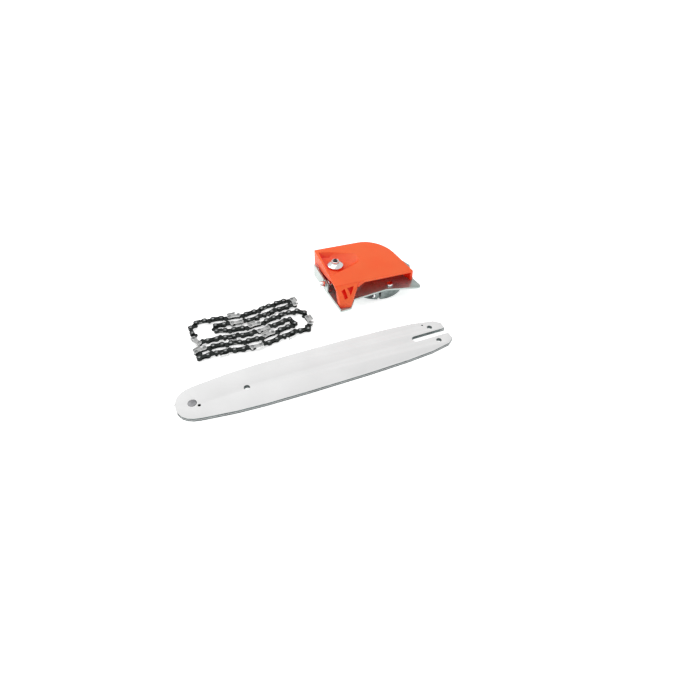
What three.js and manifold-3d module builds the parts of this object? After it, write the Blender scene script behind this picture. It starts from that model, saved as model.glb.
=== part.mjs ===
// A bar-and-chain saw head, laid out as a kit: the covered head, the guide bar and the saw chain.
// Millimetres, +Z up. Everything lies on z = 0, the bar's long axis runs along X with its nose at -X,
// and the kit is centred over the origin at the end of the file.
import * as THREE from 'three';
import { ConvexGeometry } from 'three/addons/geometries/ConvexGeometry.js';
import { mergeVertices } from 'three/addons/utils/BufferGeometryUtils.js';
import Module from 'manifold-3d';

const wasm = await Module();
wasm.setup();

// ---------------------------------------------------------------- driving dimensions
const GAP = 0.3; // clearance between neighbouring pieces

// guide bar: nose at x = 0, tail at BAR_LENGTH, flat on the ground
const BAR_LENGTH = 300;
const BAR_HALF_WIDTH = 27.8;
const RAIL_THICKNESS = 1.5;
const CORE_THICKNESS = 1.25;
const GROOVE_DEPTH = 5.5;
const NOSE_AXIS_X = 16.5;
const NOSE_SPROCKET_TIP = 17.6;
const NOSE_SPROCKET_ROOT = 12.6;
const NOSE_TEETH = 7;
const HUB_RADIUS = 4.2;
const HANGING_HOLE_X = 71.5;
const HANGING_HOLE_RADIUS = 3.2;
const GREASE_HOLE = [22.4, -5.2];
const GREASE_HOLE_RADIUS = 1.7;
const SLOT_HALF_WIDTH = 4.1;
const SLOT_END_X = 261.5;
const ADJUSTER_HOLE_X = 284.5;
const ADJUSTER_HOLE_OFFSET = 10.9;
const ADJUSTER_HOLE_RADIUS = 3;
const OIL_HOLE = [278.5, 16.8];
const OIL_HOLE_RADIUS = 1.1;

// saw chain: pitch between neighbouring rivets, low profile
const CHAIN_PITCH = 9.525;
const CHAIN_RIVETS = 80;
const DRIVE_LINK_THICKNESS = 1.3;
const STRAP_THICKNESS = 1.1;
const LAYER_GAP = 0.25;
const RIVET_RADIUS = 1.4;
const CUTTER_HALF_KERF = 3.3;
const CHAIN_MID_Z = CUTTER_HALF_KERF;

// head: height levels
const PLATE_THICKNESS = 2;
const RING_HEIGHT = 14;
const PLATE_TOP = RING_HEIGHT + PLATE_THICKNESS;
const COVER_WALL = 2.5;
const COVER_HIGH_Z = 46;
const COVER_SLOPE_X = 0.066;
const COVER_SLOPE_Y = 0.153;
const SPOT_FACE_Z = 39.4;

// head: axes in plan
const STUD = [212, 114];
const SPINDLE = [264, 113];
const TENSION_SCREW_Y = STUD[1] - ADJUSTER_HOLE_OFFSET;
const TENSION_SCREW_Z = 24.5;
const PINCH_BOLT_Y = 83.2;
const PINCH_BOLT_Z = 8.8;

// ---------------------------------------------------------------- finishes
function finish(color, roughness, metalness) {
  return new THREE.MeshStandardMaterial({ color, roughness, metalness });
}

const orangePlastic = () => finish(0xff6e41, 0.45, 0);
const platedSteel = () => finish(0x96a5a0, 0.35, 0.8);
const silverPaint = () => finish(0xe8e8e8, 0.5, 0.2);
const darkSteel = () => finish(0x34363a, 0.4, 0.9);
const brightSteel = () => finish(0xc8c8cc, 0.25, 1);
const bluedSteel = () => finish(0x2a2b30, 0.4, 0.9);
const sinteredSteel = () => finish(0x77797c, 0.5, 0.9);

// ---------------------------------------------------------------- solid helpers
function bare(geometry) {
  const copy = geometry.clone();
  copy.deleteAttribute('normal');
  copy.deleteAttribute('uv');
  return mergeVertices(copy, 1e-4);
}

function solid(geometry) {
  const merged = bare(geometry);
  return new wasm.Manifold(new wasm.Mesh({
    numProp: 3,
    vertProperties: new Float32Array(merged.attributes.position.array),
    triVerts: new Uint32Array(merged.index.array),
  }));
}

function geometryOf(manifold) {
  const mesh = manifold.getMesh();
  const geometry = new THREE.BufferGeometry();
  geometry.setAttribute('position', new THREE.BufferAttribute(new Float32Array(mesh.vertProperties), 3));
  geometry.setIndex(new THREE.BufferAttribute(new Uint32Array(mesh.triVerts), 1));
  return geometry;
}

// a straight-sided piece between two heights, from a shape or from a list of [x, y] corners
function prism(outline, z0, z1, curveSegments = 12) {
  const isShape = outline instanceof THREE.Shape;
  const shape = isShape ? outline : new THREE.Shape(outline.map(([x, y]) => new THREE.Vector2(x, y)));
  const geometry = new THREE.ExtrudeGeometry(shape, { depth: z1 - z0, bevelEnabled: false, curveSegments });
  geometry.translate(0, 0, z0);
  return geometry;
}

function disc(x, y, radius, z0, z1, sides = 20) {
  const geometry = new THREE.CylinderGeometry(radius, radius, z1 - z0, sides);
  geometry.rotateX(Math.PI / 2);
  geometry.translate(x, y, (z0 + z1) / 2);
  return geometry;
}

function rodX(x0, x1, y, z, radius, sides = 12) {
  const geometry = new THREE.CylinderGeometry(radius, radius, x1 - x0, sides);
  geometry.rotateZ(-Math.PI / 2);
  geometry.translate((x0 + x1) / 2, y, z);
  return geometry;
}

function block(x0, x1, y0, y1, z0, z1) {
  const geometry = new THREE.BoxGeometry(x1 - x0, y1 - y0, z1 - z0);
  geometry.translate((x0 + x1) / 2, (y0 + y1) / 2, (z0 + z1) / 2);
  return geometry;
}

// a round piece about a vertical axis, from [radius, z] pairs that start and end on the axis
function turned(x, y, profile, sides = 20) {
  const geometry = new THREE.LatheGeometry(profile.map(([r, z]) => new THREE.Vector2(r, z)), sides);
  geometry.rotateX(Math.PI / 2);
  geometry.translate(x, y, 0);
  return geometry;
}

const cut = (body, ...tools) => tools.reduce((rest, tool) => rest.subtract(solid(tool)), body);
const join = (body, ...extras) => extras.reduce((rest, extra) => rest.add(solid(extra)), body);

const kit = new THREE.Group();

function add(name, geometry, material) {
  const mesh = new THREE.Mesh(geometry, material);
  mesh.name = name;
  kit.add(mesh);
  return mesh;
}

// ---------------------------------------------------------------- guide bar
// Stations of the long edge, tail to nose: distance along the bar, and how far the edge lies inside the
// full half width.
const TAIL_CORNER_Y = 13.2;
const TAIL_CHAMFER = 7;
const EDGE_STATIONS = [
  [BAR_LENGTH - TAIL_CHAMFER, 9], [270, 4.4], [240, 2], [195, 0.5],
  [130, 0], [85, 0.5], [55, 2.2], [34, 4.7],
];

// The bar's outline, moved inwards by inset. One half runs tail to nose; the other half mirrors it.
function barShape(inset) {
  const half = BAR_HALF_WIDTH - inset;
  const noseRadius = NOSE_AXIS_X - inset;
  const tail = BAR_LENGTH - inset;
  const stations = EDGE_STATIONS.map(([x, drop]) => [Math.min(x, tail - TAIL_CHAMFER), half - drop]);
  const edge = [[tail, TAIL_CORNER_Y], ...stations];
  const [shoulderX, shoulderY] = edge[edge.length - 1];
  const cheek = [3.8 + inset * 0.7, noseRadius * 0.8];
  const shape = new THREE.Shape();
  shape.moveTo(tail, 0);
  edge.forEach(([x, y]) => shape.lineTo(x, y));
  shape.bezierCurveTo(22, half - 6.2, 10, noseRadius * 1.3, cheek[0], cheek[1]);
  shape.bezierCurveTo(inset + 0.4, noseRadius * 0.45, inset, noseRadius * 0.25, inset, 0);
  shape.bezierCurveTo(inset, -noseRadius * 0.25, inset + 0.4, -noseRadius * 0.45, cheek[0], -cheek[1]);
  shape.bezierCurveTo(10, -noseRadius * 1.3, 22, 6.2 - half, shoulderX, -shoulderY);
  edge.slice(0, -1).reverse().forEach(([x, y]) => shape.lineTo(x, -y));
  shape.lineTo(tail, 0);
  return shape;
}

function barHoles(z0, z1) {
  const tools = [
    disc(HANGING_HOLE_X, 0, HANGING_HOLE_RADIUS, z0, z1, 16),
    disc(SLOT_END_X, 0, SLOT_HALF_WIDTH, z0, z1, 16),
    block(SLOT_END_X, BAR_LENGTH + 2, -SLOT_HALF_WIDTH, SLOT_HALF_WIDTH, z0, z1),
  ];
  for (const side of [-1, 1]) {
    tools.push(disc(ADJUSTER_HOLE_X, side * ADJUSTER_HOLE_OFFSET, ADJUSTER_HOLE_RADIUS, z0, z1, 12));
  }
  return tools;
}

const RAIL_1 = [0, RAIL_THICKNESS];
const CORE = [RAIL_THICKNESS, RAIL_THICKNESS + CORE_THICKNESS];
const RAIL_2 = [RAIL_THICKNESS + CORE_THICKNESS, 2 * RAIL_THICKNESS + CORE_THICKNESS];

function rail([z0, z1]) {
  const body = cut(
    solid(prism(barShape(0), z0, z1, 5)),
    ...barHoles(z0 - 1, z1 + 1),
    disc(NOSE_AXIS_X, 0, HUB_RADIUS + GAP, z0 - 1, z1 + 1, 16),
    disc(GREASE_HOLE[0], GREASE_HOLE[1], GREASE_HOLE_RADIUS, z0 - 1, z1 + 1, 8),
    disc(OIL_HOLE[0], OIL_HOLE[1], OIL_HOLE_RADIUS, z0 - 1, z1 + 1, 8),
  );
  return geometryOf(body);
}

// The core stops short of the nose, where the sprocket turns.
function barCore() {
  const [z0, z1] = CORE;
  const pocket = NOSE_SPROCKET_TIP + 1;
  const body = cut(
    solid(prism(barShape(GROOVE_DEPTH), z0, z1, 4)),
    ...barHoles(z0 - 1, z1 + 1),
    disc(NOSE_AXIS_X, 0, pocket, z0 - 1, z1 + 1, 24),
    block(-5, NOSE_AXIS_X, -BAR_HALF_WIDTH, BAR_HALF_WIDTH, z0 - 1, z1 + 1),
  );
  return geometryOf(body);
}

const SPROCKET_SIDE_PLAY = 0.1;
const NOSE_FIRST_TOOTH = THREE.MathUtils.degToRad(210);
// half widths of a tooth at its root and its tip, in parts of one tooth pitch
const TOOTH_PROFILE = [
  [-0.36, NOSE_SPROCKET_ROOT], [-0.1, NOSE_SPROCKET_TIP],
  [0.1, NOSE_SPROCKET_TIP], [0.36, NOSE_SPROCKET_ROOT],
];

function noseSprocket() {
  const [z0, z1] = CORE;
  const outline = [];
  for (let tooth = 0; tooth < NOSE_TEETH; tooth += 1) {
    TOOTH_PROFILE.forEach(([offset, radius]) => {
      const angle = NOSE_FIRST_TOOTH + ((tooth + offset) / NOSE_TEETH) * 2 * Math.PI;
      outline.push([NOSE_AXIS_X + radius * Math.cos(angle), radius * Math.sin(angle)]);
    });
  }
  return geometryOf(cut(
    solid(prism(outline, z0 + SPROCKET_SIDE_PLAY, z1 - SPROCKET_SIDE_PLAY)),
    disc(NOSE_AXIS_X, 0, HUB_RADIUS + GAP, z0 - 1, z1 + 1, 16),
  ));
}

add('bar_lower_rail', rail(RAIL_1), silverPaint());
add('bar_core', barCore(), silverPaint());
add('bar_upper_rail', rail(RAIL_2), silverPaint());
add('nose_sprocket', noseSprocket(), bluedSteel());
add('nose_hub', disc(NOSE_AXIS_X, 0, HUB_RADIUS, 0, RAIL_2[1] + 0.25, 16), brightSteel());

// ---------------------------------------------------------------- saw chain
// One closed chain, folded in three: a long thin loop that lies in six rows, front row first.
const ROW_Y = [57, 68.3, 79.1, 90.4, 101.2, 112.5];
const CORNER_RADIUS = 5.1;
const WAVE_HEIGHT = 3.2;
const WAVE_LENGTH = 97;
const WAVE_CREST_X = 50;
const wave = (x) => WAVE_HEIGHT * Math.cos((2 * Math.PI * (x - WAVE_CREST_X)) / WAVE_LENGTH);

// Straight rows joined by turns with rounded corners; letOut lengthens the two back rows.
function chainRoute(letOut) {
  const corners = [
    [36, 5], [148 + letOut, 5], [148 + letOut, 4], [60, 4], [60, 3], [163, 3],
    [163, 0], [33, 0], [33, 1], [148, 1], [148, 2], [36, 2],
  ].map(([x, row]) => new THREE.Vector2(x, ROW_Y[row]));
  const route = new THREE.Path();
  corners.forEach((corner, i) => {
    const before = corners[(i + corners.length - 1) % corners.length];
    const after = corners[(i + 1) % corners.length];
    const enter = before.clone().sub(corner).setLength(CORNER_RADIUS).add(corner);
    const leave = after.clone().sub(corner).setLength(CORNER_RADIUS).add(corner);
    if (i === 0) {
      route.moveTo(enter.x, enter.y);
    } else {
      route.lineTo(enter.x, enter.y);
    }
    route.quadraticCurveTo(corner.x, corner.y, leave.x, leave.y);
  });
  route.closePath();
  return route.getSpacedPoints(4000).map((point) => new THREE.Vector2(point.x, point.y + wave(point.x)));
}

// Walks along the route in straight steps of one pitch; returns the rivets and where the walk stopped.
function walk(points, steps) {
  const rivets = [points[0].clone()];
  let i = 1;
  while (rivets.length <= steps && i < points.length * 1.2) {
    const last = rivets[rivets.length - 1];
    const point = points[i % points.length];
    if (point.distanceTo(last) >= CHAIN_PITCH) {
      const before = points[(i - 1) % points.length];
      const over = point.distanceTo(last) - CHAIN_PITCH;
      const gain = point.distanceTo(last) - before.distanceTo(last);
      rivets.push(point.clone().lerp(before, gain > 1e-9 ? over / gain : 0));
    } else {
      i += 1;
    }
  }
  return { rivets, travelled: i / points.length };
}

// The row end is let out until the last step lands on the first rivet.
function chainRivets() {
  let low = -12;
  let high = 25;
  for (let step = 0; step < 40; step += 1) {
    const middle = (low + high) / 2;
    const { travelled } = walk(chainRoute(middle), CHAIN_RIVETS);
    if (travelled > 1) {
      low = middle;
    } else {
      high = middle;
    }
  }
  return walk(chainRoute((low + high) / 2), CHAIN_RIVETS - 1).rivets;
}

const rivets = chainRivets();

// Outlines in the link's own frame: x runs from one rivet to the next, y towards the inside of the loop.
const P = CHAIN_PITCH;
const STRAP_OUTLINE = [
  [-3, 1.2], [-3, -1.2], [-1.6, -2.8], [P + 1.6, -2.8],
  [P + 3, -1.2], [P + 3, 1.2], [P + 1.6, 2.8], [-1.6, 2.8],
];
const DRIVE_OUTLINE = [
  [-3, 1.2], [-3, -1.2], [-1.6, -2.9], [P + 1.6, -2.9], [P + 3, -1.2], [P + 3, 1.2], [P + 1.3, 2.9],
  [P - 2, 3], [P - 3, 4.9], [P - 5.2, 5.3], [2, 3], [-1.4, 2.8],
];
const CUTTER_OUTLINE = [
  [-3, 1.2], [-3, -1.2], [-2.6, -4.9], [6, -4.9], [6.6, -2.2], [8.4, -2.4], [9.4, -4.3], [11.6, -4],
  [P + 3, -1.2], [P + 3, 1.2], [P + 1.6, 2.8], [-1.6, 2.8],
];
const STRAP_Z = DRIVE_LINK_THICKNESS / 2 + LAYER_GAP;
const LINKS_PER_SECTION = 4;

// A frame at rivet k, with x towards the next rivet, y towards the inside of the loop and z down.
function linkFrame(k) {
  const from = rivets[k % CHAIN_RIVETS];
  const to = rivets[(k + 1) % CHAIN_RIVETS];
  const angle = Math.atan2(to.y - from.y, to.x - from.x);
  return new THREE.Matrix4()
    .makeTranslation(from.x, from.y, CHAIN_MID_Z)
    .multiply(new THREE.Matrix4().makeRotationZ(angle))
    .multiply(new THREE.Matrix4().makeRotationX(Math.PI));
}

const inFrame = (geometry, k) => geometry.applyMatrix4(linkFrame(k));

function driveLink(k, withHole) {
  const shape = new THREE.Shape(DRIVE_OUTLINE.map(([x, y]) => new THREE.Vector2(x, y)));
  if (withHole) {
    const hole = new THREE.Path();
    hole.absarc(0, 0, RIVET_RADIUS + 2 * GAP, 0, 2 * Math.PI, true);
    shape.holes.push(hole);
  }
  return inFrame(prism(shape, -DRIVE_LINK_THICKNESS / 2, DRIVE_LINK_THICKNESS / 2, 3), k);
}

function barrel(k, x) {
  const reach = STRAP_Z + STRAP_THICKNESS / 2;
  return inFrame(disc(x, 0, RIVET_RADIUS, -reach, reach, 6), k);
}

// side is 1 for the lower layer and -1 for the upper
function sidePlate(k, outline, side) {
  const z0 = side > 0 ? STRAP_Z : -STRAP_Z - STRAP_THICKNESS;
  return inFrame(prism(outline, z0, z0 + STRAP_THICKNESS), k);
}

// a cutter's top plate stands across its side plate, out to the width of the cut
function cutterTop(k, side) {
  const [z0, z1] = side > 0 ? [-0.3, CUTTER_HALF_KERF] : [-CUTTER_HALF_KERF, 0.3];
  return inFrame(block(-2.6, 6, -5.2, -4.2, z0, z1), k);
}

// Four links of the chain: a drive link, a cutter and its tie strap, a drive link, and two tie straps.
function chainSection(index) {
  const first = index * LINKS_PER_SECTION;
  const side = index % 2 === 0 ? 1 : -1;
  const cutterLink = first + 1;
  const tieLink = first + 3;
  return geometryOf(join(
    solid(driveLink(first, true)),
    barrel(cutterLink, 0),
    barrel(cutterLink, P),
    sidePlate(cutterLink, CUTTER_OUTLINE, side),
    cutterTop(cutterLink, side),
    sidePlate(cutterLink, STRAP_OUTLINE, -side),
    driveLink(first + 2, false),
    barrel(tieLink, 0),
    barrel(tieLink, P),
    sidePlate(tieLink, STRAP_OUTLINE, 1),
    sidePlate(tieLink, STRAP_OUTLINE, -1),
  ));
}

for (let index = 0; index < CHAIN_RIVETS / LINKS_PER_SECTION; index += 1) {
  const hand = index % 2 === 0 ? 'left' : 'right';
  const number = String(index + 1).padStart(2, '0');
  add(`chain_section_${number}_${hand}`, chainSection(index), bluedSteel());
}

// ---------------------------------------------------------------- head: bracket plate
const PLATE_LEFT_BACK = [193, 136];
const PLATE_LEFT_FRONT = [197.8, 60.5];
const plateEdgeX = (y) => THREE.MathUtils.mapLinear(
  y, PLATE_LEFT_BACK[1], PLATE_LEFT_FRONT[1], PLATE_LEFT_BACK[0], PLATE_LEFT_FRONT[0],
);
const SPINDLE_HOLE_RADIUS = 15;
const STUD_RADIUS = 4;
const RING_SCREW_RADIUS = 2;
const RING_SCREW_CIRCLE = 29.7;
const RING_SCREW_ANGLES = [-80, -155, 150];
const TENSION_SCREW_RADIUS = 2.4;
const ringScrewAt = (degrees) => {
  const angle = THREE.MathUtils.degToRad(degrees);
  const [x, y] = SPINDLE;
  return [x + RING_SCREW_CIRCLE * Math.cos(angle), y + RING_SCREW_CIRCLE * Math.sin(angle)];
};

function plateOutline() {
  const shape = new THREE.Shape();
  shape.moveTo(...PLATE_LEFT_BACK);
  shape.lineTo(...PLATE_LEFT_FRONT);
  shape.lineTo(210.5, 61);
  shape.lineTo(220, 74.5);
  shape.lineTo(262, 77.5);
  shape.lineTo(298.5, 66.8);
  shape.quadraticCurveTo(303, 66.4, 302.5, 71.4);
  shape.lineTo(300.5, 84);
  shape.lineTo(304, 98);
  shape.lineTo(309, 110);
  shape.quadraticCurveTo(303, 134, 285, 141);
  shape.lineTo(262, 145);
  shape.lineTo(198, 143);
  shape.lineTo(...PLATE_LEFT_BACK);
  return shape;
}

// a wall that stands on the plate's left edge between two y positions
function edgeWall(y0, y1, z0, height0, height1, thickness) {
  const corners = [];
  for (const [y, height] of [[y0, height0], [y1, height1]]) {
    for (const x of [plateEdgeX(y), plateEdgeX(y) + thickness]) {
      corners.push(new THREE.Vector3(x, y, z0), new THREE.Vector3(x, y, height));
    }
  }
  return new ConvexGeometry(corners);
}

// The plate's left edge turns up: a back flange, a tab that holds the tensioning screw, and a low front rim.
const FLANGE_THICKNESS = 2;
const RIM_THICKNESS = 0.8;
const RIM_TOP = PLATE_TOP + 1.6;
const TAB_TOP = 28.5;
const BACK_FLANGE_Y = [108, 136];
const BACK_FLANGE_TOP = [28, 30.4];
const TAB_Y = [96.6, 106];
const RIM_Y = [61.5, 96];

function bracketPlate() {
  const folded = join(
    solid(prism(plateOutline(), RING_HEIGHT, PLATE_TOP, 4)),
    edgeWall(...BACK_FLANGE_Y, RING_HEIGHT, ...BACK_FLANGE_TOP, FLANGE_THICKNESS),
    edgeWall(...TAB_Y, RING_HEIGHT, TAB_TOP, TAB_TOP, FLANGE_THICKNESS),
    edgeWall(...RIM_Y, RING_HEIGHT, RIM_TOP, RIM_TOP, RIM_THICKNESS),
  );
  return geometryOf(cut(
    folded,
    disc(...SPINDLE, SPINDLE_HOLE_RADIUS, 0, 40, 28),
    disc(...STUD, STUD_RADIUS + GAP, 0, 30, 16),
    rodX(190, 200, TENSION_SCREW_Y, TENSION_SCREW_Z, TENSION_SCREW_RADIUS + GAP, 12),
    ...RING_SCREW_ANGLES.map((angle) => disc(...ringScrewAt(angle), RING_SCREW_RADIUS + GAP, 0, 30, 10)),
  ));
}
add('bracket_plate', bracketPlate(), platedSteel());

// ---------------------------------------------------------------- head: clamp ring under the plate
const RING_OUTER = 33.5;
const RING_BORE = 26;
const SPLIT_X = 254.5;
const SPLIT_WIDTH = 3;
const BOSS_RIGHT = 266;
const LUG_LEFT = 249;
const LUG_FRONT_Y = 78.6;
const LUG_Z = [4.4, 13];
const SEAT_GAP = 0.25;
const PINCH_BOLT_RADIUS = 2.5;
const PINCH_HEAD_RADIUS = 4.6;
const PINCH_HEAD_X = [241.6, 245.6];
const PINCH_WASHER_X = [246.4, LUG_LEFT - 0.5];
const PINCH_WASHER_RADIUS = 4.8;

// A split ring with a lug on each side of the split; the bolt's washer sits on a spot face.
function clampRing() {
  const bore = disc(...SPINDLE, RING_BORE, -1, 30, 28);
  const ring = cut(solid(disc(...SPINDLE, RING_OUTER, 0, RING_HEIGHT - SEAT_GAP, 36)), bore);
  const lugs = join(ring, block(LUG_LEFT, BOSS_RIGHT, LUG_FRONT_Y, 88, ...LUG_Z));
  return geometryOf(cut(
    lugs,
    bore,
    block(SPLIT_X - SPLIT_WIDTH / 2, SPLIT_X + SPLIT_WIDTH / 2, 60, 100, -1, 30),
    rodX(LUG_LEFT - 5, BOSS_RIGHT - 2, PINCH_BOLT_Y, PINCH_BOLT_Z, PINCH_BOLT_RADIUS + GAP, 12),
    rodX(PINCH_HEAD_X[0], LUG_LEFT, PINCH_BOLT_Y, PINCH_BOLT_Z, PINCH_WASHER_RADIUS + GAP, 16),
    ...RING_SCREW_ANGLES.map((angle) => disc(...ringScrewAt(angle), RING_SCREW_RADIUS + GAP, 5, 30, 10)),
  ));
}
add('clamp_ring', clampRing(), platedSteel());

const RING_SCREW_SEAT = PLATE_TOP + SEAT_GAP;
const RING_SCREW_END = 6;
const RING_SCREW_PROFILE = [
  [0, RING_SCREW_END], [RING_SCREW_RADIUS, RING_SCREW_END], [RING_SCREW_RADIUS, RING_SCREW_SEAT],
  [4.2, RING_SCREW_SEAT], [3.6, RING_SCREW_SEAT + 2], [0, RING_SCREW_SEAT + 2.6],
];
RING_SCREW_ANGLES.forEach((angle, i) => {
  add(`ring_screw_${i + 1}`, turned(...ringScrewAt(angle), RING_SCREW_PROFILE, 12), brightSteel());
});

function pinchBolt() {
  const head = rodX(...PINCH_HEAD_X, PINCH_BOLT_Y, PINCH_BOLT_Z, PINCH_HEAD_RADIUS, 6);
  const shank = rodX(PINCH_HEAD_X[1] - 0.5, BOSS_RIGHT - 3, PINCH_BOLT_Y, PINCH_BOLT_Z, PINCH_BOLT_RADIUS);
  return geometryOf(join(solid(head), shank));
}
add('pinch_bolt', pinchBolt(), darkSteel());
add('pinch_washer', geometryOf(cut(
  solid(rodX(...PINCH_WASHER_X, PINCH_BOLT_Y, PINCH_BOLT_Z, PINCH_WASHER_RADIUS, 16)),
  rodX(240, 255, PINCH_BOLT_Y, PINCH_BOLT_Z, PINCH_BOLT_RADIUS + GAP),
)), brightSteel());

// ---------------------------------------------------------------- head: bar stud, pad and tensioner
const PAD_TOP = 24;
const PAD_RADIUS = 7.2;
const STUD_TOP = 47.2;
const STUD_STEP_Z = 32;
const THREAD_RADIUS = 2.6;
const STUD_HEAD_Z = [11, RING_HEIGHT - GAP];
const STUD_HEAD_RADIUS = 7;
add('bar_stud', turned(...STUD, [
  [0, STUD_HEAD_Z[0]], [STUD_HEAD_RADIUS, STUD_HEAD_Z[0]], [STUD_HEAD_RADIUS, STUD_HEAD_Z[1]],
  [STUD_RADIUS, STUD_HEAD_Z[1]], [STUD_RADIUS, STUD_STEP_Z], [THREAD_RADIUS, STUD_STEP_Z + 1],
  [THREAD_RADIUS, STUD_TOP - 0.8], [THREAD_RADIUS - 0.7, STUD_TOP], [0, STUD_TOP],
], 16), darkSteel());
add('bar_pad', geometryOf(cut(
  solid(disc(...STUD, PAD_RADIUS, PLATE_TOP + GAP, PAD_TOP, 24)),
  disc(...STUD, STUD_RADIUS + GAP, 0, 40, 16),
)), sinteredSteel());

const SCREW_HEAD_X = plateEdgeX(TENSION_SCREW_Y) - GAP;
const SCREW_HEAD_RADIUS = 3.9;
const SCREW_HEAD_LENGTH = 7;
const SCREW_SLOT_DEPTH = 1.4;
const SCREW_SLOT_HALF = 0.5;

const SCREW_END_X = 240;
const COLLAR_X = [199, 201.5];
const COLLAR_RADIUS = 4.2;

function tensionScrew() {
  const left = SCREW_HEAD_X - SCREW_HEAD_LENGTH;
  const shankX = [SCREW_HEAD_X - 3, SCREW_END_X];
  const shank = rodX(...shankX, TENSION_SCREW_Y, TENSION_SCREW_Z, TENSION_SCREW_RADIUS, 12);
  const head = rodX(left, SCREW_HEAD_X, TENSION_SCREW_Y, TENSION_SCREW_Z, SCREW_HEAD_RADIUS, 16);
  const slot = block(
    left - 1, left + SCREW_SLOT_DEPTH,
    TENSION_SCREW_Y - SCREW_HEAD_LENGTH, TENSION_SCREW_Y + SCREW_HEAD_LENGTH,
    TENSION_SCREW_Z - SCREW_SLOT_HALF, TENSION_SCREW_Z + SCREW_SLOT_HALF,
  );
  return geometryOf(cut(join(solid(head), shank), slot));
}
add('tension_screw', tensionScrew(), brightSteel());
add('tension_screw_collar', geometryOf(cut(
  solid(rodX(...COLLAR_X, TENSION_SCREW_Y, TENSION_SCREW_Z, COLLAR_RADIUS, 14)),
  rodX(190, 210, TENSION_SCREW_Y, TENSION_SCREW_Z, TENSION_SCREW_RADIUS + GAP),
)), brightSteel());

const BLOCK_X = 212;
const BLOCK_LENGTH = 9;
const BLOCK_TOP = 29;
const BLOCK_Y = [TENSION_SCREW_Y - 4.6, TENSION_SCREW_Y + 3.2];
const PIN_RADIUS = 2.6;
const PIN_TOP = 33.5;
add('tension_block', geometryOf(cut(
  solid(block(BLOCK_X, BLOCK_X + BLOCK_LENGTH, ...BLOCK_Y, PLATE_TOP + GAP, BLOCK_TOP)),
  rodX(200, 230, TENSION_SCREW_Y, TENSION_SCREW_Z, TENSION_SCREW_RADIUS + GAP),
)), sinteredSteel());
const PIN_X = BLOCK_X + BLOCK_LENGTH / 2;
const PIN_FOOT = BLOCK_TOP + SEAT_GAP;
add('tension_pin', disc(PIN_X, TENSION_SCREW_Y, PIN_RADIUS, PIN_FOOT, PIN_TOP, 14), brightSteel());

// ---------------------------------------------------------------- head: cover
const COVER_BACK_LEFT = [196.4, 141.5];
const COVER_FOOT = PLATE_TOP + GAP;

// the cover's flat top, which falls towards the front and the right
function topZ(x, y) {
  return COVER_HIGH_Z - COVER_SLOPE_X * (x - COVER_BACK_LEFT[0]) - COVER_SLOPE_Y * (COVER_BACK_LEFT[1] - y);
}

// the inside of the roof, one wall below the top
function roofZ(x, y) {
  return topZ(x, y) - COVER_WALL;
}

const COVER_BACK_Y = 142.3;
const COVER_FRONT_LEFT = [198.6, 80.5];
const COVER_FRONT_RIGHT = [297.6, 81.5];
const COVER_ARC_FOOT = [289.2, 113.8];
const COVER_ARC_CENTRE = [253, 106.2];
const COVER_ARC_RADIUS = 36.9;
const COVER_ARC_START = THREE.MathUtils.degToRad(12);

function coverOutline(inset) {
  const shape = new THREE.Shape();
  shape.moveTo(COVER_BACK_LEFT[0] + inset, COVER_BACK_Y - inset);
  shape.lineTo(COVER_FRONT_LEFT[0] + inset, COVER_FRONT_LEFT[1] + inset);
  shape.lineTo(COVER_FRONT_RIGHT[0] - inset, COVER_FRONT_RIGHT[1] + inset);
  shape.lineTo(COVER_ARC_FOOT[0] - inset, COVER_ARC_FOOT[1]);
  shape.absarc(...COVER_ARC_CENTRE, COVER_ARC_RADIUS - inset, COVER_ARC_START, Math.PI / 2, false);
  return shape;
}

// everything below a sloping plane, over a wide rectangle
function below(zAt, z0) {
  const [middleX, middleY] = COVER_ARC_CENTRE;
  const geometry = new THREE.BoxGeometry(140, 110, 1);
  const position = geometry.attributes.position;
  for (let i = 0; i < position.count; i += 1) {
    const x = position.getX(i) + middleX;
    const y = position.getY(i) + middleY;
    position.setXYZ(i, x, y, position.getZ(i) > 0 ? zAt(x, y) : z0);
  }
  return geometry;
}

// a straight-sided piece that runs along X, from [y, z] corners
function sheetX(points, x0, x1) {
  const shape = new THREE.Shape(points.map(([y, z]) => new THREE.Vector2(y, z)));
  const geometry = new THREE.ExtrudeGeometry(shape, { depth: x1 - x0, bevelEnabled: false });
  geometry.applyMatrix4(new THREE.Matrix4().makeBasis(
    new THREE.Vector3(0, 1, 0), new THREE.Vector3(0, 0, 1), new THREE.Vector3(1, 0, 0),
  ));
  geometry.translate(x0, 0, 0);
  return geometry;
}

const hull = (corners) => new ConvexGeometry(corners.map((corner) => new THREE.Vector3(...corner)));

// the strut that carries the front end of the lintel down to the plate
function leg() {
  return hull([
    [199.2, 65.2, COVER_FOOT], [211, 62.6, COVER_FOOT], [198.6, 72.5, COVER_FOOT], [214, 69, COVER_FOOT],
    [198.6, 68.6, 29.6], [198.6, 82, topZ(198.6, 82)], [228.5, 82, topZ(228.5, 82)],
    [222.5, 75.7, 32.6], [228.5, 82, 31], [222, 79, 24], [198.6, 76, 24],
  ]);
}

// the web that rounds the corner between the strut and the lintel
function cornerWeb() {
  const y0 = 81.2;
  const y1 = 84;
  return hull([
    [226, y0, 34], [238, y0, 33], [231.5, y0, 31.8], [227.5, y0, 26],
    [226, y1, 34], [238, y1, 33], [231.5, y1, 31.8], [227.5, y1, 26],
  ]);
}

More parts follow.
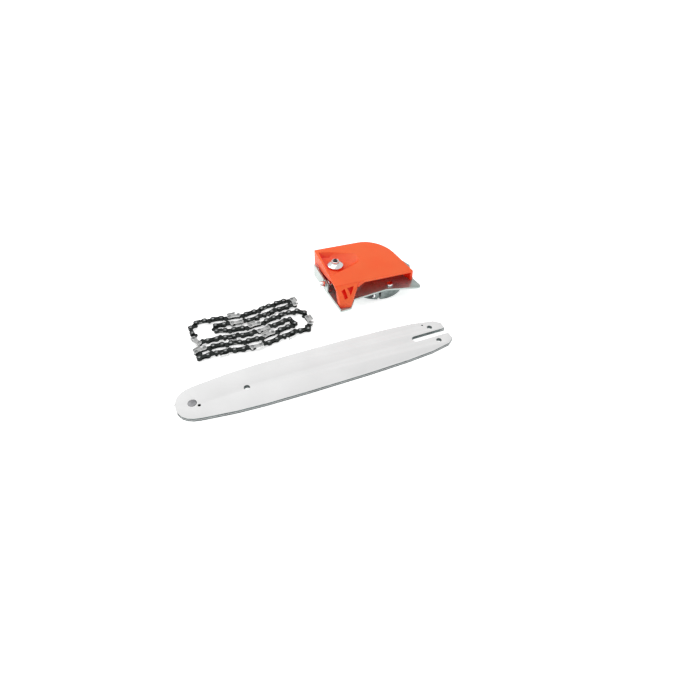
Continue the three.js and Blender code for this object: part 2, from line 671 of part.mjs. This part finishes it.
// Two pockets in the strut's outer face leave a slanting rib between them. Each is cut from its mouth's
// corners, drawn out of the face and sunk into it.
const LEFT_POCKET = [[203.6, 74.2, 32.5], [208.2, 76.2, 33.4], [209.2, 68.6, 25.5], [205.2, 67.4, 24.8]];
const RIGHT_POCKET = [[211.4, 76.2, 33.2], [219.8, 77, 33.3], [213.4, 70, 26.4]];
const POCKET_OUT = [0, -2.2, 2];
const POCKET_IN = [0, 2.4, -2.2];

function pocket(mouth) {
  const moved = ([dx, dy, dz]) => mouth.map(([x, y, z]) => [x + dx, y + dy, z + dz]);
  return hull([...moved(POCKET_OUT), ...moved(POCKET_IN)]);
}

const TALL = 60;

// The recess round the nut: its floor falls to a low back right corner, and its back and right walls slope.
const RECESS_LEFT = 199.8;
const RECESS_FLOOR = [
  [RECESS_LEFT, 134, 39.2], [211, 131.6, 38.4], [230, 122, 36.2], [237, 115.6, 35.2],
  [234, 108.5, 38.3], [RECESS_LEFT, 97, 38.9],
];
const RECESS_RIM = [[RECESS_LEFT, 136.8], [206, 136.8], [241.8, 125.5], [243, 114.5], [235.5, 108.5]];

function recess(drop, spread) {
  const grow = ([x, y]) => (x > RECESS_LEFT ? [x + spread, y + spread] : [x, y + spread]);
  return hull([
    ...RECESS_FLOOR.map((corner) => [...grow(corner), corner[2] - drop]),
    ...RECESS_RIM.map((corner) => [...grow(corner), topZ(...corner) - drop]),
    ...RECESS_RIM.map((corner) => [...grow(corner), TALL - drop]),
    [RECESS_LEFT, RECESS_FLOOR.at(-1)[1], TALL - drop],
  ]);
}

const COVER_BOSS_RADIUS = 7.2;
const WASHER_PAD_RADIUS = 9.6;
const WASHER_PAD_LOW_Z = 35.8;
const FRONT_OPENING = [229, 294.6, 60, 90];
const BESIDE_STRUT = [200, 240, 70, 84];
const SIDE_OPENING = [[143, 0], [143, 25], [96.5, 33.2], [93, 35.2], [84, 34.4], [77, 30.6], [76, 0]];

function cover() {
  const underTop = solid(below(topZ, 0));
  const underRoof = solid(below(roofZ, -5));
  const shell = solid(prism(coverOutline(0), COVER_FOOT, TALL, 10)).intersect(underTop);
  const hollow = solid(prism(coverOutline(COVER_WALL), 0, TALL, 10)).intersect(underRoof);
  const recessWalls = solid(recess(COVER_WALL, 1)).intersect(underTop);
  const frontOpening = solid(block(...FRONT_OPENING, 0, TALL)).intersect(underRoof);
  const besideLeg = solid(block(...BESIDE_STRUT, 0, TALL)).intersect(underRoof);
  const open = join(shell.subtract(hollow), disc(...STUD, COVER_BOSS_RADIUS, PAD_TOP + GAP, SPOT_FACE_Z, 24))
    .add(recessWalls)
    .subtract(frontOpening)
    .subtract(besideLeg);
  const carved = cut(
    join(open, leg(), cornerWeb()),
    sheetX(SIDE_OPENING, 190, 199 + COVER_WALL),
    recess(0, 0),
    pocket(LEFT_POCKET),
    pocket(RIGHT_POCKET),
  );
  const washerPad = disc(...STUD, WASHER_PAD_RADIUS, WASHER_PAD_LOW_Z, SPOT_FACE_Z, 24);
  return geometryOf(cut(join(carved, washerPad), disc(...STUD, STUD_RADIUS + 2 * GAP, 0, 70, 16)));
}
add('cover', cover(), orangePlastic());

// ---------------------------------------------------------------- head: nut and washer on top of the cover
const WASHER_SEAT = SPOT_FACE_Z + GAP;
const NUT_SEAT = 43.5;
const NUT_TOP = 45.7;
const NUT_CORNER_RADIUS = 4.6;
const THREAD_CLEARANCE_RADIUS = THREAD_RADIUS + GAP;
const WASHER_PROFILE = [
  [0, WASHER_SEAT], [9.4, WASHER_SEAT], [9.3, WASHER_SEAT + 0.8], [4.9, NUT_SEAT - GAP], [0, NUT_SEAT - GAP],
];
add('flange_washer', geometryOf(cut(
  solid(turned(...STUD, WASHER_PROFILE, 28)),
  disc(...STUD, THREAD_CLEARANCE_RADIUS, 30, 60, 16),
)), brightSteel());
add('bar_nut', geometryOf(cut(
  solid(disc(...STUD, NUT_CORNER_RADIUS, NUT_SEAT, NUT_TOP, 6)),
  disc(...STUD, THREAD_CLEARANCE_RADIUS, 30, 60, 16),
)), brightSteel());

// ---------------------------------------------------------------- centre the kit over the origin
const bounds = new THREE.Box3().setFromObject(kit);
const centre = bounds.getCenter(new THREE.Vector3());
kit.position.set(-centre.x, -centre.y, -bounds.min.z);
kit.updateMatrixWorld(true);

export default kit;
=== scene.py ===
"""Saw head kit: the looks of the covered head, the guide bar and the saw chain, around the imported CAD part.

Lengths in the shapes below are in millimetres from the bar's nose, with the bar's axis along X;
place() turns them into the row frame's metres.
"""

import math

import bmesh
import bpy
from mathutils import Matrix, Vector


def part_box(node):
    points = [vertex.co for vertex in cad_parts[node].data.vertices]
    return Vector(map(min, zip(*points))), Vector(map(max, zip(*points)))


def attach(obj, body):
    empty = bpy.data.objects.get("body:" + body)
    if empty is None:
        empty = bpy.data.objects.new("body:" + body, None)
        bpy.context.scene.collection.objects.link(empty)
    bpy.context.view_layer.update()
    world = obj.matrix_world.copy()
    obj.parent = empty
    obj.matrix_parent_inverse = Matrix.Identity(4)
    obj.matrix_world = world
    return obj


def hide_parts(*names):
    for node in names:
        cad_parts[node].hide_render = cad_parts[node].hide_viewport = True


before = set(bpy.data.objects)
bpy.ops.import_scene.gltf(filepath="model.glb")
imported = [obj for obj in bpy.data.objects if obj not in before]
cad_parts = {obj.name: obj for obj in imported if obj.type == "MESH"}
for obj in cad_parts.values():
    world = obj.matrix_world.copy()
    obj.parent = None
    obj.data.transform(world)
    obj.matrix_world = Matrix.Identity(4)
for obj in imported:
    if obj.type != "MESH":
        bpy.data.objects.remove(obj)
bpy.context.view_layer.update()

MM = 0.001
NOSE_AXIS_X = 16.5
HUB_LOW, HUB_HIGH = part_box("nose_hub")
ORIGIN = Vector(((HUB_LOW.x + HUB_HIGH.x) / 2 - NOSE_AXIS_X * MM, (HUB_LOW.y + HUB_HIGH.y) / 2, 0))


def place(x, y, z=0.0):
    """A point in millimetres from the bar's nose, in the row frame."""
    return ORIGIN + Vector((x, y, z)) * MM


# ---------------------------------------------------------------- materials
def surface(name, dark, light, roughness, metallic=0.0, patch=40.0, grain=900.0, bump=0.1):
    """A finish that varies: broad patches between two colours, and a fine grain in roughness and height."""
    made = bpy.data.materials.new(name)
    made.use_nodes = True
    tree = made.node_tree
    shader = tree.nodes["Principled BSDF"]
    shader.inputs["Metallic"].default_value = metallic
    where = tree.nodes.new("ShaderNodeTexCoord")

    broad = tree.nodes.new("ShaderNodeTexNoise")
    broad.inputs["Scale"].default_value = patch
    broad.inputs["Detail"].default_value = 3.0
    tree.links.new(where.outputs["Object"], broad.inputs["Vector"])
    ramp = tree.nodes.new("ShaderNodeValToRGB")
    ramp.color_ramp.elements[0].position = 0.3
    ramp.color_ramp.elements[1].position = 0.7
    ramp.color_ramp.elements[0].color = (*dark, 1.0)
    ramp.color_ramp.elements[1].color = (*light, 1.0)
    tree.links.new(broad.outputs["Fac"], ramp.inputs["Fac"])
    tree.links.new(ramp.outputs["Color"], shader.inputs["Base Color"])

    fine = tree.nodes.new("ShaderNodeTexNoise")
    fine.inputs["Scale"].default_value = grain
    fine.inputs["Detail"].default_value = 2.0
    tree.links.new(where.outputs["Object"], fine.inputs["Vector"])
    rough = tree.nodes.new("ShaderNodeMapRange")
    rough.inputs["To Min"].default_value = max(0.02, roughness - 0.07)
    rough.inputs["To Max"].default_value = min(1.0, roughness + 0.07)
    tree.links.new(fine.outputs["Fac"], rough.inputs["Value"])
    tree.links.new(rough.outputs["Result"], shader.inputs["Roughness"])

    height = tree.nodes.new("ShaderNodeBump")
    height.inputs["Strength"].default_value = bump
    height.inputs["Distance"].default_value = 0.0001
    tree.links.new(fine.outputs["Fac"], height.inputs["Height"])
    tree.links.new(height.outputs["Normal"], shader.inputs["Normal"])
    return made


def metal(name, dark, light, roughness, metallic=1.0, patch=200.0, bump=0.05):
    """A metal finish."""
    return surface(name, dark, light, roughness, metallic, patch=patch, bump=bump)


ORANGE = surface("orange_plastic", (1.0, 0.135, 0.024), (1.0, 0.165, 0.036), 0.42, grain=1500.0)
SILVER = surface("silver_paint", (0.68, 0.68, 0.68), (0.73, 0.73, 0.73), 0.6, patch=22.0, grain=2200.0)
PLATE = metal("plated_plate", (0.36, 0.42, 0.40), (0.48, 0.54, 0.52), 0.3, 0.8, 90.0, 0.08)
CASTING = metal("plated_casting", (0.12, 0.145, 0.14), (0.26, 0.30, 0.295), 0.42, 1.0, 140.0, 0.35)
# dark bare steel for the bar's edges, groove and hole walls; on the hole walls it is also painted shade
BARE_EDGE_AND_SHADE = metal("bare_edge_and_shade", (0.06, 0.08, 0.08), (0.14, 0.18, 0.18), 0.45, 0.8, 160.0, 0.1)
DARK = metal("dark_steel", (0.03, 0.03, 0.034), (0.07, 0.07, 0.075), 0.35, 0.9, 300.0, 0.1)
BLUED = metal("blued_steel", (0.014, 0.017, 0.016), (0.042, 0.047, 0.045), 0.28, 0.95, 260.0, 0.1)
RIVET = metal("rivet_steel", (0.10, 0.105, 0.105), (0.30, 0.31, 0.31), 0.18)
CHROME = metal("chrome_steel", (0.44, 0.45, 0.45), (0.70, 0.70, 0.69), 0.16, patch=300.0)
BRIGHT = metal("bright_steel", (0.78, 0.78, 0.79), (0.9, 0.9, 0.9), 0.2, patch=260.0)
SINTERED = metal("sintered_steel", (0.20, 0.20, 0.21), (0.32, 0.32, 0.33), 0.5, 0.9, bump=0.4)


def paint_shade_in_hollows(material, color, reach):
    """Painted shade: mixes a deep red into the plastic's colour where ambient occlusion finds its own walls
    close, in place of the shade that falls in its hollows.
    """
    tree = material.node_tree
    base = tree.nodes["Principled BSDF"].inputs["Base Color"]
    plain = base.links[0].from_socket
    near = tree.nodes.new("ShaderNodeAmbientOcclusion")
    near.samples = 4
    near.inputs["Distance"].default_value = reach
    openness = tree.nodes.new("ShaderNodeMapRange")
    openness.inputs["From Min"].default_value = 0.5
    openness.inputs["From Max"].default_value = 0.95
    tree.links.new(near.outputs["AO"], openness.inputs["Value"])
    both = tree.nodes.new("ShaderNodeMixRGB")
    both.inputs["Color1"].default_value = (*color, 1.0)
    tree.links.new(openness.outputs["Result"], both.inputs["Fac"])
    tree.links.new(plain, both.inputs["Color2"])
    tree.links.new(both.outputs["Color"], base)


def let_light_through(material, color, share):
    """Thin plastic passes some light, so its shaded inside glows."""
    tree = material.node_tree
    shader = tree.nodes["Principled BSDF"]
    glow = tree.nodes.new("ShaderNodeBsdfTranslucent")
    glow.inputs["Color"].default_value = (*color, 1.0)
    both = tree.nodes.new("ShaderNodeMixShader")
    both.inputs["Fac"].default_value = share
    tree.links.new(shader.outputs["BSDF"], both.inputs[1])
    tree.links.new(glow.outputs["BSDF"], both.inputs[2])
    tree.links.new(both.outputs["Shader"], tree.nodes["Material Output"].inputs["Surface"])


# painted shade: a deep red in the cover's recesses and pockets
paint_shade_in_hollows(ORANGE, (0.95, 0.012, 0.002), 0.02)
let_light_through(ORANGE, (1.0, 0.04, 0.004), 0.26)


# ---------------------------------------------------------------- shaping helpers
def object_of(mesh_data, name, material):
    """An object made from a bmesh, in the row frame."""
    data = bpy.data.meshes.new(name)
    mesh_data.to_mesh(data)
    mesh_data.free()
    data.materials.append(material)
    made = bpy.data.objects.new(name, data)
    bpy.context.scene.collection.objects.link(made)
    return made


def soften(made, width, segments=3, angle=28.0):
    """Rounds the edges by a width in millimetres and smooths the shading across them."""
    rounding = made.modifiers.new("rounding", "BEVEL")
    rounding.width = width * MM
    rounding.segments = segments
    rounding.limit_method = "ANGLE"
    rounding.angle_limit = math.radians(angle)
    rounding.harden_normals = True
    for face in made.data.polygons:
        face.use_smooth = True
    return made


def finish_piece(made, body, slot, *nodes):
    """Hangs a piece on its body and hides the CAD nodes it stands for."""
    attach(made, body)
    if nodes:
        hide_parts(*nodes)
    return made


def refined(node, body, material, slot, width, segments=3):
    """The CAD node's own shape with flat faces merged and edges rounded."""
    shape = bmesh.new()
    shape.from_mesh(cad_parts[node].data)
    bmesh.ops.remove_doubles(shape, verts=shape.verts, dist=0.00001)
    bmesh.ops.dissolve_limit(shape, angle_limit=math.radians(0.6), verts=shape.verts, edges=shape.edges)
    bmesh.ops.recalc_face_normals(shape, faces=shape.faces)
    made = object_of(shape, node + "_look", material)
    soften(made, width, segments)
    return finish_piece(made, body, slot, node)


# ---------------------------------------------------------------- head
refined("cover", "cover", ORANGE, "orange_plastic", 0.9)
refined("bracket_plate", "head", PLATE, "plated_plate", 0.35)
refined("clamp_ring", "head", CASTING, "plated_plate", 0.6)
for number in (1, 2, 3):
    refined(f"ring_screw_{number}", "head", BRIGHT, "bright_steel", 0.3)
refined("pinch_bolt", "pinch_bolt", DARK, "dark_steel", 0.3)
refined("pinch_washer", "head", BRIGHT, "bright_steel", 0.2)
refined("bar_stud", "head", DARK, "dark_steel", 0.2)
refined("bar_pad", "head", SINTERED, "sintered_steel", 0.3)
refined("tension_screw", "tension_screw", BRIGHT, "bright_steel", 0.4)
refined("tension_screw_collar", "tension_screw", BRIGHT, "bright_steel", 0.2)
refined("tension_block", "tension_block", SINTERED, "sintered_steel", 0.4)
refined("tension_pin", "tension_block", BRIGHT, "bright_steel", 0.4)
refined("flange_washer", "flange_washer", BRIGHT, "bright_steel", 0.25)
refined("bar_nut", "bar_nut", BRIGHT, "bright_steel", 0.35)


# ---------------------------------------------------------------- guide bar
def bare_edges_and_hole_shade(made, material):
    """The sides and the holes' walls get the dark bare-steel finish, and only the flat faces are painted
    silver; on the hole walls the dark finish also stands in for the shade inside the holes (painted shade).
    """
    made.data.materials.append(material)
    for face in made.data.polygons:
        if abs(face.normal.z) < 0.5:
            face.material_index = 1
    made.modifiers["rounding"].material = 0


# partly painted shade: the rails' side faces and hole walls take the dark edge finish
for rail in ("bar_upper_rail", "bar_lower_rail"):
    bare_edges_and_hole_shade(refined(rail, "guide_bar", SILVER, "silver_paint", 0.12, segments=2), BARE_EDGE_AND_SHADE)
refined("bar_core", "guide_bar", BARE_EDGE_AND_SHADE, "silver_paint", 0.05, segments=1)
refined("nose_sprocket", "nose_sprocket", BLUED, "blued_steel", 0.1, segments=2)
refined("nose_hub", "guide_bar", SINTERED, "bright_steel", 0.2)

# ---------------------------------------------------------------- saw chain
PITCH = 9.525
RIVETS = 80
LINKS_PER_SECTION = 4
ROW_Y = (57.0, 68.3, 79.1, 90.4, 101.2, 112.5)
CORNER_RADIUS = 5.1
WAVE_HEIGHT = 3.2
WAVE_LENGTH = 97.0
WAVE_CREST_X = 50.0
CHAIN_MID_Z = 3.3
DRIVE_HALF = 0.65
STRAP_FROM = 0.9
STRAP_TO = 2.0
LINE_STEP = 0.3
CORNER_STEPS = 24


def chain_line(let_out):
    """Points along the folded loop, in six rows; let_out lengthens the two back rows."""
    end = 148 + let_out
    corners = [
        Vector((x, ROW_Y[row]))
        for x, row in (
            (36, 5), (end, 5), (end, 4), (60, 4), (60, 3), (163, 3),
            (163, 0), (33, 0), (33, 1), (148, 1), (148, 2), (36, 2),
        )
    ]
    points = []
    for i, corner in enumerate(corners):
        before = corners[i - 1]
        after = corners[(i + 1) % len(corners)]
        enter = corner + (before - corner).normalized() * CORNER_RADIUS
        leave = corner + (after - corner).normalized() * CORNER_RADIUS
        if points:
            start = points[-1]
            steps = max(1, round((enter - start).length / LINE_STEP))
            points += [start.lerp(enter, n / steps) for n in range(1, steps + 1)]
        else:
            points.append(enter)
        for n in range(1, CORNER_STEPS + 1):
            share = n / CORNER_STEPS
            points.append(enter.lerp(corner, share).lerp(corner.lerp(leave, share), share))
    start = points[-1]
    steps = max(1, round((points[0] - start).length / LINE_STEP))
    points += [start.lerp(points[0], n / steps) for n in range(1, steps + 1)]
    swing = 2 * math.pi / WAVE_LENGTH
    return [Vector((p.x, p.y + WAVE_HEIGHT * math.cos(swing * (p.x - WAVE_CREST_X)))) for p in points]


def walk(points, steps):
    """Rivets one pitch apart along the line, and the share of the line walked."""
    rivets = [points[0].copy()]
    i = 1
    while len(rivets) <= steps and i < len(points) * 1.2:
        last = rivets[-1]
        point = points[i % len(points)]
        reach = (point - last).length
        if reach >= PITCH:
            before = points[(i - 1) % len(points)]
            gain = reach - (before - last).length
            rivets.append(point.lerp(before, (reach - PITCH) / gain if gain > 1e-9 else 0))
        else:
            i += 1
    return rivets, i / len(points)


def chain_rivets():
    """The rivets of the closed loop; the row end is let out until the last step meets the first rivet."""
    low, high = -12.0, 25.0
    for _ in range(30):
        middle = (low + high) / 2
        if walk(chain_line(middle), RIVETS)[1] > 1:
            low = middle
        else:
            high = middle
    return walk(chain_line((low + high) / 2), RIVETS - 1)[0]


rivets = chain_rivets()


def link_frame(k):
    """At rivet k, with x towards the next rivet, y towards the inside of the loop and z down."""
    here = rivets[k % RIVETS]
    there = rivets[(k + 1) % RIVETS]
    angle = math.atan2(there.y - here.y, there.x - here.x)
    return (
        Matrix.Translation(place(here.x, here.y, CHAIN_MID_Z))
        @ Matrix.Rotation(angle, 4, "Z")
        @ Matrix.Rotation(math.pi, 4, "X")
        @ Matrix.Scale(MM, 4)
    )


def arc(x, y, radius, start, end, steps):
    """Points on an arc between two angles in degrees."""
    return [
        (
            x + radius * math.cos(math.radians(start + (end - start) * n / steps)),
            y + radius * math.sin(math.radians(start + (end - start) * n / steps)),
        )
        for n in range(steps + 1)
    ]


# outlines in the link's frame, each from the left end round the outer side
STRAP = [
    *arc(0, 0, 2.95, 118, 298, 9), (3.4, -1.75), (PITCH - 3.4, -1.75),
    *arc(PITCH, 0, 2.95, -118, 62, 9), (PITCH - 3.4, 1.75), (3.4, 1.75),
]
DRIVE = [
    *arc(0, 0, 2.9, 122, 298, 8), (3.2, -2.1), (PITCH - 3.2, -2.1),
    *arc(PITCH, 0, 2.9, -118, 62, 8), (PITCH - 1.6, 2.9), (PITCH - 2.6, 4.7), (PITCH - 4.0, 5.2),
    (PITCH - 5.4, 5.0), (3.4, 3.8), (1.6, 2.9),
]
CUTTER = [
    *arc(0, 0, 2.95, 118, 205, 5), (-2.8, -3.0), (-2.6, -4.6), (1.2, -4.7), (5.9, -4.9), (6.2, -3.4),
    (6.9, -2.1), (8.2, -2.2), (9.0, -3.4), (9.6, -4.3), (11.2, -3.9), (11.9, -2.3),
    *arc(PITCH, 0, 2.95, -20, 62, 4), (PITCH - 3.4, 1.75), (3.4, 1.75),
]
# the cutter's top plate, from above: x along the link, z across it, with its slanting cutting edge
TOP_PLATE = [(-2.5, -0.2), (5.4, -0.2), (6.9, 3.2), (-2.5, 3.0)]


def slab(shape, matrix, corners, low, high):
    """Adds a flat piece to a bmesh: corners in x and y, between two z."""
    ring = [shape.verts.new(matrix @ Vector((x, y, low))) for x, y in corners]
    face = shape.faces.new(ring)
    grown = bmesh.ops.extrude_face_region(shape, geom=[face])
    shift = matrix.to_3x3() @ Vector((0, 0, high - low))
    moved = [v for v in grown["geom"] if isinstance(v, bmesh.types.BMVert)]
    bmesh.ops.translate(shape, verts=moved, vec=shift)


def dome(shape, matrix, x, z, side, radius=1.75):
    """Adds a rivet's domed head to a bmesh, on the face at z."""
    at = matrix @ Matrix.Translation((x, 0, z)) @ Matrix.Diagonal((radius, radius, 0.45 * side, 1))
    bmesh.ops.create_uvsphere(shape, u_segments=12, v_segments=6, radius=1, matrix=at)


def top_plate(shape, matrix, side):
    """Adds a cutter's top plate: it stands across the side plate and leans down towards its heel."""
    heel_x, heel_y = -2.5, -4.35
    tip_x, tip_y = 6.4, -5.15
    thickness = 0.75
    slope = (tip_y - heel_y) / (tip_x - heel_x)
    rows = []
    for drop in (0.0, thickness):
        corners = [Vector((x, heel_y + (x - heel_x) * slope + drop, z * side)) for x, z in TOP_PLATE]
        rows.append([shape.verts.new(matrix @ corner) for corner in corners])
    low, high = rows
    shape.faces.new(low)
    shape.faces.new(high[::-1])
    for n in range(len(low)):
        m = (n + 1) % len(low)
        shape.faces.new((low[n], high[n], high[m], low[m]))


def chain_piece(shape, name, material, slot_name, width, *nodes):
    """Turns a filled bmesh into one softened piece that rides on the chain."""
    bmesh.ops.recalc_face_normals(shape, faces=shape.faces)
    made = object_of(shape, name, material)
    soften(made, width, segments=2)
    return finish_piece(made, "saw_chain", slot_name, *nodes)


def chain_section(index, node):
    """Four links: a drive link, a cutter with its tie strap, a drive link, and two tie straps."""
    first = index * LINKS_PER_SECTION
    side = 1 if index % 2 == 0 else -1
    cutter, tie = link_frame(first + 1), link_frame(first + 3)
    links, chrome, heads = bmesh.new(), bmesh.new(), bmesh.new()
    slab(links, link_frame(first), DRIVE, -DRIVE_HALF, DRIVE_HALF)
    slab(links, link_frame(first + 2), DRIVE, -DRIVE_HALF, DRIVE_HALF)
    for face in (1, -1):
        slab(links, tie, STRAP, *sorted((face * STRAP_FROM, face * STRAP_TO)))
        for at in (0, PITCH):
            dome(heads, tie, at, face * STRAP_TO, face)
            dome(heads, cutter, at, face * STRAP_TO, face)
    slab(links, cutter, STRAP, *sorted((-side * STRAP_FROM, -side * STRAP_TO)))
    slab(chrome, cutter, CUTTER, *sorted((side * STRAP_FROM, side * STRAP_TO)))
    top_plate(chrome, cutter, side)
    number = f"{index + 1:02d}"
    chain_piece(links, f"chain_links_{number}", BLUED, "blued_steel", 0.22, node)
    chain_piece(chrome, f"chain_cutter_{number}", CHROME, "blued_steel", 0.15)
    chain_piece(heads, f"chain_rivets_{number}", RIVET, "blued_steel", 0.05)


for index, node in enumerate(sorted(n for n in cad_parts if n.startswith("chain_section"))):
    chain_section(index, node)


# ---------------------------------------------------------------- floor, light and camera
def floor():
    """A pale floor that glows a little, so that shadows on it stay faint."""
    bpy.ops.mesh.primitive_plane_add(size=12.0, location=(0, 0, -0.0002))
    made = bpy.context.object
    made.name = "studio_floor"
    paper = bpy.data.materials.new("studio_paper")
    paper.use_nodes = True
    tree = paper.node_tree
    shader = tree.nodes["Principled BSDF"]
    noise = tree.nodes.new("ShaderNodeTexNoise")
    noise.inputs["Scale"].default_value = 3.0
    tint = tree.nodes.new("ShaderNodeValToRGB")
    tint.color_ramp.elements[0].color = (0.94, 0.94, 0.94, 1)
    tint.color_ramp.elements[1].color = (0.97, 0.97, 0.97, 1)
    tree.links.new(noise.outputs["Fac"], tint.inputs["Fac"])
    tree.links.new(tint.outputs["Color"], shader.inputs["Base Color"])
    shader.inputs["Roughness"].default_value = 0.9
    shader.inputs["Specular IOR Level"].default_value = 0.1
    shader.inputs["Emission Color"].default_value = (1, 1, 1, 1)
    shader.inputs["Emission Strength"].default_value = 0.55
    made.data.materials.append(paper)


def soft_light(name, location, target, width, depth, power):
    """A rectangular soft light that faces a target."""
    lamp = bpy.data.lights.new(name, "AREA")
    lamp.shape = "RECTANGLE"
    lamp.size = width
    lamp.size_y = depth
    lamp.energy = power
    made = bpy.data.objects.new(name, lamp)
    bpy.context.scene.collection.objects.link(made)
    made.location = location
    made.rotation_mode = "QUATERNION"
    made.rotation_quaternion = (Vector(target) - Vector(location)).to_track_quat("-Z", "Y")


floor()
world = bpy.data.worlds.new("studio")
world.use_nodes = True
world.node_tree.nodes["Background"].inputs["Color"].default_value = (1, 1, 1, 1)
world.node_tree.nodes["Background"].inputs["Strength"].default_value = 0.75
bpy.context.scene.world = world
soft_light("overhead", (-0.1, 0.2, 0.9), (0, 0, 0), 0.9, 0.7, 3.2)
soft_light("left_back", (-0.8, 0.5, 0.55), (0, 0, 0), 0.5, 0.5, 2.6)

ELEVATION = math.radians(43.78)
AZIMUTH = math.radians(-21.76)
CAMERA_DISTANCE = 619.44
TARGET_X, TARGET_Y = 185.12, 35.02
TARGET = place(TARGET_X, TARGET_Y)
backwards = Vector(
    (
        math.sin(AZIMUTH) * math.cos(ELEVATION),
        -math.cos(AZIMUTH) * math.cos(ELEVATION),
        math.sin(ELEVATION),
    )
)
camera_data = bpy.data.cameras.new("photo_view")
camera_data.sensor_width = 36.0
camera_data.lens = 29.735
camera_data.clip_start = 0.01
camera_data.clip_end = 50.0
camera = bpy.data.objects.new("photo_view", camera_data)
bpy.context.scene.collection.objects.link(camera)
camera.location = TARGET + backwards * CAMERA_DISTANCE * MM
camera.rotation_mode = "QUATERNION"
camera.rotation_quaternion = (-backwards).to_track_quat("-Z", "Y")
bpy.context.scene.camera = camera
bpy.context.scene.view_settings.view_transform = "Standard"
